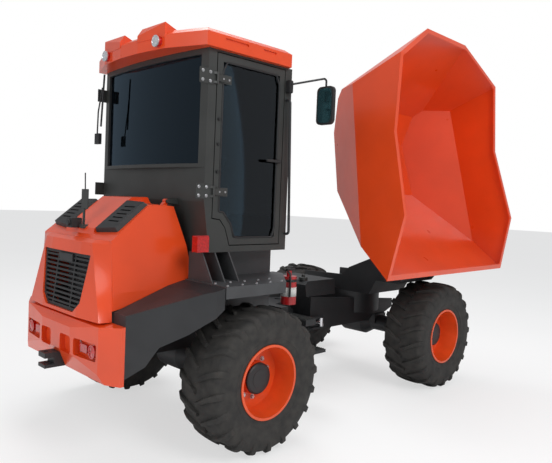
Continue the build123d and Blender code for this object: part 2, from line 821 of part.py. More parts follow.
def roof_horn(hand):
    """Raised corner over a rear work lamp."""
    with BuildPart() as horn:
        with BuildSketch(level(roof_base + 90)):
            Polygon((-645, hand * 140), (-604, hand * 480), (-440, hand * 480), (-440, hand * 140), align=None)
        extrude(amount=130)
        with BuildSketch(side(500)):
            Polygon(
                (-660, roof_base + 90), (-660, roof_base + 120), (-600, roof_base + 208), (-420, roof_base + 140),
                (-420, roof_base + 90), align=None,
            )
        extrude(amount=1000, mode=Mode.INTERSECT)
    return horn.part


with BuildPart() as cab_roof:
    with BuildSketch(level(roof_base)):
        Polygon(*roof_plan, align=None)
    extrude(amount=110)
    with BuildSketch(level(roof_base + 110)):
        Polygon(*reversed(roof_plan), align=None)
    extrude(amount=40, taper=55)
    for hand in (1, -1):
        add(roof_horn(hand))
    with BuildSketch(side(900)):
        for start, end in ((-279, -33), (137, 285)):
            Polygon(
                (start, roof_base + 68), (end, roof_base + 68), (end, roof_base + 88), (start, roof_base + 88),
                align=None,
            )
    extrude(amount=62, mode=Mode.SUBTRACT)
    with BuildSketch(side(-838)):
        for start, end in ((-279, -33), (137, 285)):
            Polygon(
                (start, roof_base + 68), (end, roof_base + 68), (end, roof_base + 88), (start, roof_base + 88),
                align=None,
            )
    extrude(amount=62, mode=Mode.SUBTRACT)
    with BuildSketch(across(-700)):
        with Locations((work_lamp_y, work_lamp_z), (-work_lamp_y, work_lamp_z)):
            Circle(work_lamp_radius + run_gap)
    extrude(amount=700 - 590, mode=Mode.SUBTRACT)
    with BuildSketch(across(555)):
        with Locations((work_lamp_y, work_lamp_z), (-work_lamp_y, work_lamp_z)):
            Circle(work_lamp_radius + run_gap)
    extrude(amount=60, mode=Mode.SUBTRACT)
save(cab_roof, "cab_roof")

with BuildPart() as cab_windows:
    extrude(cab_plan(2300.5, 20), amount=859)
    extrude(cab_plan(2300, 28), amount=860, mode=Mode.SUBTRACT)
    with BuildSketch(level(2300)):
        Polygon((-700, -719.5), (-370, -719.5), (-370, 719.5), (-700, 719.5), align=None)
    extrude(amount=900, mode=Mode.INTERSECT)
    with BuildSketch(across(cab_front - 30)):
        with Locations((0, 2440)):
            Rectangle(2 * cab_half - 181, 1379)
    extrude(amount=8)
save(cab_windows, "cab_windows")

# doors with hinges at the back edge
for hand_name, hand in (("right", -1), ("left", 1)):
    start = cab_half if hand > 0 else -cab_half + door_thick
    with BuildPart() as door:
        with BuildSketch(side(start)):
            Polygon(*door_outline, align=None)
            offset(amount=-60, mode=Mode.SUBTRACT, kind=Kind.INTERSECTION)
        extrude(amount=door_thick)
        for z in door_hinges:
            with BuildSketch(level(z - 25)):
                Polygon(
                    (door_hinge_x, hand * (door_hinge_y - 4)), (-290, hand * (cab_half - 1)),
                    (-180, hand * (cab_half - 1)), (-180, hand * (cab_half + 8)),
                    (door_hinge_x, hand * (door_hinge_y + 8)), align=None,
                )
                with Locations((door_hinge_x, hand * door_hinge_y)):
                    Circle(11)
                    Circle(6 + run_gap, mode=Mode.SUBTRACT)
            extrude(amount=50)
    save(door, "door_" + hand_name)
    with BuildPart() as door_glass:
        with BuildSketch(side(start - 16)):
            Polygon(*door_outline, align=None)
            offset(amount=-60.5, kind=Kind.INTERSECTION)
        extrude(amount=8)
    save(door_glass, "door_glass_" + hand_name)

# platforms beside the cab and the base under it
with BuildPart() as cab_platform:
    with BuildSketch(level(1277)):
        Polygon(
            (-430, -bonnet_half - 10), (-430, -1150), (210, -1150), (600, -725), (600, -600), (-290, -600),
            (-290, -bonnet_half - 10), align=None,
        )
    extrude(amount=91)
    mirror(about=middle)
    with BuildSketch(level(chassis_top)):
        Polygon((-300, -620), (540, -620), (540, 620), (-300, 620), align=None)
    extrude(amount=cab_floor - chassis_top)
    for x in (-400, -275, -130):
        with BuildSketch(across(x)):
            Polygon((-800, 1591), (-630, 1591), (-630, 1367), (-940, 1367), align=None)
        extrude(amount=12)
        with BuildSketch(across(x)):
            Polygon((800, 1591), (630, 1591), (630, 1367), (940, 1367), align=None)
        extrude(amount=12)
save(cab_platform, "cab_platform")

# seat, console and steps
with BuildPart() as driver_seat:
    with BuildSketch(level(cab_floor + 40, -20)):
        Rectangle(300, 340)
    extrude(amount=300)
    with BuildSketch(level(cab_floor + 340, -20)):
        Rectangle(460, 460)
    extrude(amount=120)
    with BuildSketch(side(200)):
        Polygon((-250, 2050), (-150, 2050), (-210, 2650), (-300, 2650), align=None)
    extrude(amount=400)
save(driver_seat, "driver_seat")

with BuildPart() as steering_console:
    with BuildSketch(side(120)):
        Polygon((330, cab_floor + 40), (450, cab_floor + 40), (400, 2300), (320, 2280), align=None)
    extrude(amount=240)
save(steering_console, "steering_console")

with BuildPart() as steps:
    with BuildSketch(side(-430)):
        Polygon((870, 850), (1010, 850), (1010, 905), (870, 905), align=None)
    extrude(amount=370)
    with BuildSketch(side(-170)):
        Polygon((890, yoke_top), (990, yoke_top), (990, yoke_top + 12), (890, yoke_top + 12), align=None)
    extrude(amount=274)
    with BuildSketch(side(-432)):
        Polygon((890, 880), (990, 880), (990, yoke_top + 12), (890, yoke_top + 12), align=None)
    extrude(amount=12)
    with BuildSketch(side(-560)):
        Polygon((990, 560), (1180, 560), (1180, 590), (990, 590), align=None)
        Polygon((930, 870), (980, 870), (1030, 570), (980, 570), align=None)
    extrude(amount=20)
    with BuildSketch(side(-560)):
        Polygon((990, 560), (1180, 560), (1180, 590), (990, 590), align=None)
    extrude(amount=240)
    mirror(about=middle)
save(steps, "steps")


# mirrors, rails, extinguisher and lamps
def bar(points, radius):
    """Round bar bent through points given as machine x, y, z."""
    path = [Vector(x - centre_x, y - centre_y, z) for x, y, z in points]
    with BuildPart() as run:
        with BuildLine() as route:
            FilletPolyline(*path, radius=2.5 * radius)
        with BuildSketch(Plane(origin=path[0], z_dir=path[1] - path[0])):
            Circle(radius)
        sweep(path=route.wires()[0])
    return run.part


mirror_arm = bar([(490, -cab_half, 3060), (490, -860, 3060), (780, -1000, 3145), (780, -1000, 3060)], 9)
with BuildPart() as mirrors:
    add(mirror_arm)
    with BuildSketch(across(762)):
        with Locations((-1005, 2900)):
            RectangleRounded(190, 340, 45)
    extrude(amount=36)
    mirror(about=middle)
save(mirrors, "mirrors")

grab_rail = bar([(478, -cab_half, 2920), (478, -850, 2920), (527, -850, 1736), (527, -cab_half, 1736)], 12)
with BuildPart() as grab_rails:
    add(grab_rail)
    mirror(about=middle)
save(grab_rails, "grab_rails")

with BuildPart() as fire_extinguisher:
    with BuildSketch(level(1075, 690, -725)):
        Circle(72)
    extrude(amount=260)
    with BuildSketch(level(1335, 690, -725)):
        Circle(24)
    extrude(amount=50)
    with BuildSketch(side(-650)):
        Polygon((600, 1290), (680, 1290), (680, 1330), (600, 1330), align=None)
    extrude(amount=60)
save(fire_extinguisher, "fire_extinguisher")

with BuildPart() as lamps:
    with BuildSketch(side(-cab_half)):
        Polygon((-500, 1600), (-345, 1660), (-345, 1730), (-500, 1730), align=None)
    extrude(amount=8)
    with BuildSketch(side(-cab_half - 7)):
        Polygon((-500, 1604), (-387, 1604), (-387, 1723), (-500, 1723), align=None)
    extrude(amount=60)
    with BuildSketch(across(-640)):
        with Locations((-work_lamp_y, work_lamp_z)):
            Circle(work_lamp_radius)
    extrude(amount=50)
    with BuildSketch(across(555)):
        with Locations((-work_lamp_y, work_lamp_z)):
            Circle(work_lamp_radius)
    extrude(amount=40)
    with BuildSketch(across(lamp_seat - 24)):
        with Locations((-540, 865)):
            Circle(45)
        with Locations((-400, 865)):
            RectangleRounded(120, 60, 10)
    extrude(amount=24)
    mirror(about=middle)
save(lamps, "lamps")
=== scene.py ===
import json
import math

import bmesh
import bpy
from mathutils import Matrix, Vector


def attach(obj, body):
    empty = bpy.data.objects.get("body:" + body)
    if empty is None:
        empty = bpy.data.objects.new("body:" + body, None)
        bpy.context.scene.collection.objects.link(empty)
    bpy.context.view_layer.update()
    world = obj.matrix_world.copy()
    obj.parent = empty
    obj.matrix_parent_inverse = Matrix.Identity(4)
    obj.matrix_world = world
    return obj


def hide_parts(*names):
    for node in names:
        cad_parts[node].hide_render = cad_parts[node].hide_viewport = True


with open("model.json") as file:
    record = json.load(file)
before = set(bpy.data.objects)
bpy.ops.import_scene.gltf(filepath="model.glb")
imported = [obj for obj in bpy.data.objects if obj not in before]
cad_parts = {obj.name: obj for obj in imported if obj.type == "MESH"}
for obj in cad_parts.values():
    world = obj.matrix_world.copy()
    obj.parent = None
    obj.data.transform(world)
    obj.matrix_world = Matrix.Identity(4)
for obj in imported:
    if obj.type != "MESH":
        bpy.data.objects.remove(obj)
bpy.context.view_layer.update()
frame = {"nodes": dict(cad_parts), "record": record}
nodes = frame["nodes"]

# middle of the machine's box, seen from the rear axle line on the ground
CENTRE = Vector((1.190, -0.13667, 0.0))


def spot(x, y, z):
    """A machine point, x forward from the rear axle, in the frame of the part."""
    return Vector((x, y, z)) - CENTRE


# materials
def material(name, colour, rough=0.5, metal=0.0, **sockets):
    m = bpy.data.materials.new(name)
    m.use_nodes = True
    shader = m.node_tree.nodes["Principled BSDF"]
    shader.inputs["Base Color"].default_value = (*colour, 1)
    shader.inputs["Roughness"].default_value = rough
    shader.inputs["Metallic"].default_value = metal
    for key, value in sockets.items():
        shader.inputs[key.replace("_", " ")].default_value = value
    return m


def add_noise(m, scale, dark, light, low=0.35, high=0.65, detail=6, stretch=(1, 1, 1)):
    """Mottle the base colour between two colours with object-space noise."""
    tree = m.node_tree
    coord = tree.nodes.new("ShaderNodeTexCoord")
    mapping = tree.nodes.new("ShaderNodeMapping")
    mapping.inputs["Scale"].default_value = stretch
    noise = tree.nodes.new("ShaderNodeTexNoise")
    noise.inputs["Scale"].default_value = scale
    noise.inputs["Detail"].default_value = detail
    ramp = tree.nodes.new("ShaderNodeValToRGB")
    ramp.color_ramp.elements[0].position = low
    ramp.color_ramp.elements[1].position = high
    ramp.color_ramp.elements[0].color = (*dark, 1)
    ramp.color_ramp.elements[1].color = (*light, 1)
    tree.links.new(coord.outputs["Object"], mapping.inputs["Vector"])
    tree.links.new(mapping.outputs["Vector"], noise.inputs["Vector"])
    tree.links.new(noise.outputs["Fac"], ramp.inputs["Fac"])
    tree.links.new(ramp.outputs["Color"], tree.nodes["Principled BSDF"].inputs["Base Color"])
    return noise


def add_bump(m, scale, strength, distance=0.001, detail=4):
    """Fine surface grain."""
    tree = m.node_tree
    coord = tree.nodes.new("ShaderNodeTexCoord")
    noise = tree.nodes.new("ShaderNodeTexNoise")
    noise.inputs["Scale"].default_value = scale
    noise.inputs["Detail"].default_value = detail
    bump = tree.nodes.new("ShaderNodeBump")
    bump.inputs["Strength"].default_value = strength
    bump.inputs["Distance"].default_value = distance
    tree.links.new(coord.outputs["Object"], noise.inputs["Vector"])
    tree.links.new(noise.outputs["Fac"], bump.inputs["Height"])
    tree.links.new(bump.outputs["Normal"], tree.nodes["Principled BSDF"].inputs["Normal"])


def vary_rough(m, scale, low, high):
    """Uneven gloss, as on handled or dusty paint."""
    tree = m.node_tree
    coord = tree.nodes.new("ShaderNodeTexCoord")
    noise = tree.nodes.new("ShaderNodeTexNoise")
    noise.inputs["Scale"].default_value = scale
    span = tree.nodes.new("ShaderNodeMapRange")
    span.inputs["To Min"].default_value = low
    span.inputs["To Max"].default_value = high
    tree.links.new(coord.outputs["Object"], noise.inputs["Vector"])
    tree.links.new(noise.outputs["Fac"], span.inputs["Value"])
    tree.links.new(span.outputs["Result"], tree.nodes["Principled BSDF"].inputs["Roughness"])


def paint(name, colour, rough, shade=0.88, scale=2.5, coat=0.0):
    m = material(name, colour, rough, Coat_Weight=coat, Coat_Roughness=0.12)
    add_noise(m, scale, tuple(c * shade for c in colour), colour)
    vary_rough(m, 6, rough - 0.06, rough + 0.08)
    add_bump(m, 260, 0.05, 0.0004)
    return m


orange = paint("orange_enamel", (0.78, 0.066, 0.008), 0.30, 0.88, 1.8, 0.35)
orange_rim = paint("rim_enamel", (0.80, 0.085, 0.012), 0.36, 0.85, 6, 0.2)
dark = paint("dark_chassis_paint", (0.020, 0.021, 0.023), 0.50, 0.7, 4)
cab_grey = paint("cab_grey_paint", (0.034, 0.036, 0.034), 0.45, 0.8, 4)
mid_grey = paint("light_grey_paint", (0.055, 0.057, 0.060), 0.45, 0.8, 5)
black_paint = paint("black_paint", (0.012, 0.012, 0.013), 0.38, 0.8, 6)
red_paint = paint("red_paint", (0.42, 0.010, 0.012), 0.32, 0.85, 8, 0.3)
chrome = material("polished_rod", (0.62, 0.62, 0.64), 0.12, 1.0)
vary_rough(chrome, 30, 0.08, 0.2)
casting = paint("engine_casting", (0.08, 0.085, 0.09), 0.6, 0.7, 9)
plastic = material("black_plastic", (0.014, 0.014, 0.015), 0.55)
add_noise(plastic, 12, (0.010, 0.010, 0.011), (0.018, 0.018, 0.019))
add_bump(plastic, 900, 0.25, 0.0004)
lamp_red = material("red_lens", (0.45, 0.008, 0.008), 0.16, Coat_Weight=0.6)
add_noise(lamp_red, 60, (0.35, 0.006, 0.006), (0.55, 0.012, 0.010))
fabric = material("seat_cloth", (0.02, 0.02, 0.023), 0.9, Sheen_Weight=0.3)
add_noise(fabric, 90, (0.014, 0.014, 0.016), (0.03, 0.03, 0.034))
add_bump(fabric, 700, 0.5, 0.001)


def tinted(name, tint, tint_light, gloss):
    """Thin pane: tinted see-through with a mirror sheen that grows at a slant."""
    m = bpy.data.materials.new(name)
    m.use_nodes = True
    tree = m.node_tree
    tree.nodes.remove(tree.nodes["Principled BSDF"])
    clear = tree.nodes.new("ShaderNodeBsdfTransparent")
    shine = tree.nodes.new("ShaderNodeBsdfGlossy")
    shine.inputs["Roughness"].default_value = 0.02
    shine.inputs["Color"].default_value = (*gloss, 1)
    edge = tree.nodes.new("ShaderNodeFresnel")
    edge.inputs["IOR"].default_value = 1.5
    noise = tree.nodes.new("ShaderNodeTexNoise")
    noise.inputs["Scale"].default_value = 1.4
    coord = tree.nodes.new("ShaderNodeTexCoord")
    ramp = tree.nodes.new("ShaderNodeValToRGB")
    ramp.color_ramp.elements[0].color = (*tint, 1)
    ramp.color_ramp.elements[1].color = (*tint_light, 1)
    mix = tree.nodes.new("ShaderNodeMixShader")
    tree.links.new(coord.outputs["Object"], noise.inputs["Vector"])
    tree.links.new(noise.outputs["Fac"], ramp.inputs["Fac"])
    tree.links.new(ramp.outputs["Color"], clear.inputs["Color"])
    tree.links.new(edge.outputs["Fac"], mix.inputs["Fac"])
    tree.links.new(clear.outputs["BSDF"], mix.inputs[1])
    tree.links.new(shine.outputs["BSDF"], mix.inputs[2])
    tree.links.new(mix.outputs["Shader"], tree.nodes["Material Output"].inputs["Surface"])
    return m


glass = tinted("blue_tinted_glass", (0.06, 0.16, 0.30), (0.10, 0.22, 0.38), (0.5, 0.7, 0.9))
door_pane = tinted("grey_tinted_glass", (0.26, 0.36, 0.40), (0.32, 0.42, 0.46), (0.85, 0.92, 1.0))
seal = material("black_rubber_seal", (0.010, 0.010, 0.011), 0.6)
add_noise(seal, 40, (0.008, 0.008, 0.009), (0.014, 0.014, 0.015))
steel = material("bright_steel", (0.55, 0.55, 0.56), 0.32, 1.0)
vary_rough(steel, 40, 0.25, 0.45)
add_noise(steel, 30, (0.48, 0.48, 0.49), (0.60, 0.60, 0.61))
lens = material("clear_lamp_lens", (0.70, 0.72, 0.74), 0.12, 0.6, Coat_Weight=0.5)
add_noise(lens, 80, (0.55, 0.57, 0.60), (0.80, 0.82, 0.84))
mirror_face = material("mirror_face", (0.10, 0.28, 0.33), 0.04, 0.9)
add_noise(mirror_face, 2, (0.08, 0.24, 0.30), (0.14, 0.34, 0.38))
hub_black = paint("hub_black", (0.016, 0.016, 0.017), 0.42, 0.75, 12)
label_white = material("blank_band", (0.62, 0.62, 0.60), 0.5)
add_noise(label_white, 20, (0.55, 0.55, 0.53), (0.66, 0.66, 0.64))
rubber = material("tyre_rubber", (0.016, 0.0155, 0.015), 0.80)
add_noise(rubber, 14, (0.016, 0.0155, 0.015), (0.040, 0.037, 0.033), 0.3, 0.75)
add_bump(rubber, 300, 0.35, 0.0012)

by_slot = {
    "orange_paint": orange, "dark_grey_paint": dark, "cab_grey_paint": cab_grey, "light_grey_paint": mid_grey,
    "black_paint": black_paint, "red_paint": red_paint, "chrome_rod": chrome, "engine_metal": casting,
    "black_plastic": plastic, "lamp_plastic": lamp_red, "seat_fabric": fabric, "window_glass": glass,
    "tyre_rubber": rubber,
}
slot_of = {s["node"]: s["material_slot"] for s in frame["record"]["subparts"]}
for name, node in nodes.items():
    node.data.materials.clear()
    node.data.materials.append(orange_rim if name.startswith("rim_") else by_slot[slot_of[name]])
    if name.startswith("door_glass"):
        node.data.materials[0] = door_pane


# building blocks for the pieces that dress the frame
def finish_mesh(name, verts, faces, mat, body, smooth=False, bevel=0.0, replaced=None):
    mesh = bpy.data.meshes.new(name)
    mesh.from_pydata([tuple(v) for v in verts], [], faces)
    mesh.materials.append(mat)
    work = bmesh.new()
    work.from_mesh(mesh)
    bmesh.ops.recalc_face_normals(work, faces=work.faces)
    if bevel:
        sharp = [e for e in work.edges if e.calc_face_angle(0) > 0.4]
        bmesh.ops.bevel(work, geom=sharp, offset=bevel, segments=2, affect="EDGES", clamp_overlap=True)
    work.to_mesh(mesh)
    work.free()
    for face in mesh.polygons:
        face.use_smooth = smooth
    thing = bpy.data.objects.new(name, mesh)
    bpy.context.collection.objects.link(thing)
    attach(thing, body)
    if replaced:
        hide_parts(replaced)
    return thing


def slab(points, thick, normal):
    """Closed prism: a flat outline moved along its normal."""
    shift = Vector(normal).normalized() * thick
    count = len(points)
    verts = [Vector(p) for p in points] + [Vector(p) + shift for p in points]
    faces = [tuple(range(count)), tuple(range(2 * count - 1, count - 1, -1))]
    faces += [(i, (i + 1) % count, (i + 1) % count + count, i + count) for i in range(count)]
    return verts, faces


def joined(parts):
    verts, faces = [], []
    for part_verts, part_faces in parts:
        base = len(verts)
        verts += part_verts
        faces += [tuple(i + base for i in face) for face in part_faces]
    return verts, faces


def tube(points, radius, sides=12, closed=False):
    """Round bar through points, turned without twist from run to run."""
    points = [Vector(p) for p in points]
    count = len(points)
    verts, faces = [], []
    normal = None
    for i, point in enumerate(points):
        before = points[i - 1] if i or closed else point
        after = points[(i + 1) % count] if i < count - 1 or closed else point
        run = (after - before).normalized()
        if normal is None:
            normal = run.orthogonal().normalized()
        normal = (normal - run * normal.dot(run)).normalized()
        other = run.cross(normal)
        for j in range(sides):
            turn = 2 * math.pi * j / sides
            verts.append(point + radius * (normal * math.cos(turn) + other * math.sin(turn)))
    for i in range(count if closed else count - 1):
        for j in range(sides):
            a, b = i * sides + j, i * sides + (j + 1) % sides
            c, d = (i + 1) % count * sides + (j + 1) % sides, (i + 1) % count * sides + j
            faces.append((a, b, c, d))
    if not closed:
        faces.append(tuple(range(sides)))
        faces.append(tuple(range((count - 1) * sides, count * sides)))
    return verts, faces


def smooth_path(points, steps=8):
    """Catmull-Rom line through points."""
    points = [Vector(p) for p in points]
    path = []
    for i in range(len(points) - 1):
        p0, p1, p2 = points[max(i - 1, 0)], points[i], points[i + 1]
        p3 = points[min(i + 2, len(points) - 1)]
        for k in range(steps):
            t = k / steps
            path.append(0.5 * (2 * p1 + (p2 - p0) * t + (2 * p0 - 5 * p1 + 4 * p2 - p3) * t * t
                               + (3 * p1 - p0 - 3 * p2 + p3) * t ** 3))
    return path + [points[-1]]


def lathe(profile, origin, axis, sides=48):
    """Turned form: profile of (along, radius) about an axis; ends at radius 0 are closed."""
    axis = Vector(axis).normalized()
    side_a = axis.orthogonal().normalized()
    side_b = axis.cross(side_a)
    verts, faces = [], []
    for along, radius in profile:
        for j in range(sides):
            turn = 2 * math.pi * j / sides
            spoke = side_a * math.cos(turn) + side_b * math.sin(turn)
            verts.append(Vector(origin) + axis * along + radius * spoke)
    for i in range(len(profile) - 1):
        for j in range(sides):
            a, b = i * sides + j, i * sides + (j + 1) % sides
            faces.append((a, b, b + sides, a + sides))
    faces.append(tuple(range(sides)))
    faces.append(tuple(range((len(profile) - 1) * sides, len(profile) * sides)))
    return verts, faces


def bolt(place, axis, size=0.012):
    """Hexagon head on its washer."""
    place, axis = Vector(place), Vector(axis).normalized()
    washer = lathe([(0, size * 1.15), (size * 0.18, size * 1.15)], place, axis, 20)
    head_line = [(size * 0.18, size * 0.86), (size * 0.75, size * 0.86), (size * 0.9, size * 0.7)]
    head = lathe(head_line, place, axis, 6)
    return joined([washer, head])


def bolts(name, places, axis, mat, body, size=0.012):
    return finish_mesh(name, *joined([bolt(p, axis, size) for p in places]), mat, body)

# tyres with their curved bars, in the place of the plain ones
WHEEL_RADIUS = 0.586
WHEEL_Y = 0.996
WHEELBASE = 2.760
# half section of the casing: distance from the tyre's middle, radius
CASING = [
    (0.203, 0.292), (0.214, 0.300), (0.226, 0.335), (0.232, 0.352), (0.2365, 0.358), (0.2345, 0.366),
    (0.238, 0.385), (0.2445, 0.430), (0.2445, 0.455), (0.240, 0.490), (0.230, 0.520), (0.213, 0.542),
    (0.185, 0.553), (0.10, 0.558), (0, 0.560),
]
# one bar from the middle out: distance, turn, foot radius, top radius, half width
BAR = [
    (0.000, 0.112, 0.548, 0.584, 0.016), (0.030, 0.096, 0.548, 0.5855, 0.017),
    (0.070, 0.062, 0.546, 0.5855, 0.019), (0.115, 0.020, 0.543, 0.584, 0.021),
    (0.160, -0.018, 0.538, 0.580, 0.023), (0.200, -0.046, 0.528, 0.572, 0.025),
    (0.228, -0.060, 0.508, 0.556, 0.026), (0.2435, -0.066, 0.478, 0.520, 0.024),
    (0.2445, -0.068, 0.462, 0.474, 0.019),
]


def tyre(name, x, hand, body):
    """Turned casing with curved bars in two staggered rows."""
    sides, pairs = 120, 20
    full = CASING + [(-along, r) for along, r in reversed(CASING[:-1])]
    centre = spot(x, hand * WHEEL_Y, WHEEL_RADIUS)
    verts, faces = [], []
    for along, r in full:
        for j in range(sides):
            turn = 2 * math.pi * j / sides
            verts.append(centre + Vector((r * math.cos(turn), hand * along, r * math.sin(turn))))
    rings = len(full)
    for i in range(rings):
        for j in range(sides):
            a, b = i * sides + j, i * sides + (j + 1) % sides
            c, d = (i + 1) % rings * sides + (j + 1) % sides, (i + 1) % rings * sides + j
            faces.append((a, b, c, d))
    parts = [(verts, faces)]
    for side_sign in (1, -1):
        for k in range(pairs):
            base = 2 * math.pi * (k + (0.25 if side_sign > 0 else -0.25)) / pairs
            bar_verts = []
            for along, turn, foot, top, wide in BAR:
                edge = top - 0.006
                half_section = ((foot, 1.35), (edge, 1.02), (top, 0.86))
                section = half_section + tuple((r, -spread) for r, spread in reversed(half_section))
                for r, spread in section:
                    angle = base + turn + spread * wide / WHEEL_RADIUS
                    out = along if along < 0.24 or r < top - 0.02 else along - 0.002
                    across = hand * side_sign * (out + 0.002)
                    bar_verts.append(centre + Vector((r * math.cos(angle), across, r * math.sin(angle))))
            count = len(BAR)
            bar_faces = [tuple(range(6)), tuple(range((count - 1) * 6, count * 6))]
            for i in range(count - 1):
                for j in range(6):
                    a, b = i * 6 + j, i * 6 + (j + 1) % 6
                    bar_faces.append((a, b, b + 6, a + 6))
            parts.append((bar_verts, bar_faces))
    thing = finish_mesh(name + "_tread", *joined(parts), rubber, body, smooth=True, replaced=name)
    thing.data.set_sharp_from_angle(angle=math.radians(38))


HUB_LINE = [(0.075, 0.128), (0.092, 0.126), (0.100, 0.112), (0.104, 0.075), (0.106, 0.074), (0.108, 0.0)]
wheels = [("rear", 0, "right", -1), ("rear", 0, "left", 1),
          ("front", WHEELBASE, "right", -1), ("front", WHEELBASE, "left", 1)]
for place, wheel_x, hand_name, hand in wheels:
    body = "wheel_" + place + "_" + hand_name
    tyre("tyre_" + place + "_" + hand_name, wheel_x, hand, body)
    hub = spot(wheel_x, hand * WHEEL_Y, WHEEL_RADIUS)
    cap = lathe(HUB_LINE, hub, (0, hand, 0), 40)
    finish_mesh("hub_cap_" + place + "_" + hand_name, *cap, hub_black, body)
    nuts = []
    for k in range(10):
        turn = 2 * math.pi * (k + 0.5) / 10
        nuts.append(hub + Vector((0.165 * math.cos(turn), hand * 0.020, 0.165 * math.sin(turn))))
    bolts("wheel_nuts_" + place + "_" + hand_name, nuts, (0, hand, 0), steel, body, 0.018)


def block(low, high):
    """Box between two machine points."""
    x0, y0, z0 = low
    x1, y1, z1 = high
    return slab([spot(x0, y0, z0), spot(x1, y0, z0), spot(x1, y1, z0), spot(x0, y1, z0)], z1 - z0, (0, 0, 1))


def cushion(name, centre, half, lean, mat):
    """Crowned cushion: a rounded block whose faces swell towards their middle."""
    verts, faces = [], []
    rows, sides = 20, 40
    for i in range(1, rows):
        v = math.pi * (i / rows - 0.5)
        for j in range(sides):
            u = 2 * math.pi * j / sides
            sx = math.copysign(abs(math.cos(u)) ** 0.35, math.cos(u)) * math.cos(v) ** 0.45
            sy = math.copysign(abs(math.sin(u)) ** 0.35, math.sin(u)) * math.cos(v) ** 0.45
            sz = math.copysign(abs(math.sin(v)) ** 0.8, math.sin(v))
            p = Vector((half[0] * sx, half[1] * sy, half[2] * sz))
            p.rotate(Matrix.Rotation(lean, 3, "Y"))
            verts.append(spot(*centre) + p)
    for i in range(rows - 2):
        for j in range(sides):
            a, b = i * sides + j, i * sides + (j + 1) % sides
            faces.append((a, b, b + sides, a + sides))
    faces.append(tuple(range(sides)))
    faces.append(tuple(range((rows - 2) * sides, (rows - 1) * sides)))
    thing = finish_mesh(name, verts, faces, mat, "rear", smooth=True, replaced="driver_seat")
    return thing


# driver's seat
cushion("seat_base_cushion", (-0.03, 0, 2.035), (0.235, 0.23, 0.072), 0, fabric)
cushion("seat_back_cushion", (-0.215, 0, 2.30), (0.060, 0.225, 0.235), -0.14, fabric)
cushion("seat_head_cushion", (-0.252, 0, 2.588), (0.042, 0.13, 0.062), -0.14, fabric)
stand = joined([
    block((-0.15, -0.17, 1.672), (0.15, 0.17, 1.80)),
    block((-0.12, -0.14, 1.80), (0.12, 0.14, 1.975)),
    block((-0.245, -0.03, 1.98), (-0.215, 0.03, 2.545)),
])
finish_mesh("seat_stand", *stand, plastic, "rear", bevel=0.006, replaced="driver_seat")

# steering wheel
wheel_at, wheel_axis = spot(0.300, 0, 2.335), Vector((-0.62, 0, 0.78))
across_a = Vector((0, 1, 0))
across_b = wheel_axis.normalized().cross(across_a)
ring = [wheel_at + 0.175 * (across_a * math.cos(t * math.pi / 16) + across_b * math.sin(t * math.pi / 16))
        for t in range(32)]
spokes = [tube([wheel_at, wheel_at + 0.17 * (across_a * math.cos(t) + across_b * math.sin(t))], 0.010)
          for t in (0.4, math.pi - 0.4, 1.5 * math.pi)]
boss = lathe([(-0.03, 0.035), (0.012, 0.035), (0.018, 0.0)], wheel_at, wheel_axis, 24)
hand_wheel = joined([tube(ring, 0.014, 12, closed=True), *spokes, boss])
finish_mesh("steering_wheel", *hand_wheel, plastic, "rear", smooth=True)

# door sizes: outer face of a plate, its thickness out, and the heights of the hinges
DOOR_FACE = 0.800
PLATE_FACE = 0.806
HINGES = (2.08, 2.98)
WORK_LAMP = [(-0.004, 0.047), (0.006, 0.047), (0.006, 0.040), (0.003, 0.039), (0.008, 0.0)]
BUMPER_LAMP = [(0, 0.050), (0.006, 0.050), (0.006, 0.043), (0.002, 0.042), (0.008, 0.0)]
PLATFORM_BOLT_X = (-0.39, -0.24, -0.09, 0.06, 0.19)

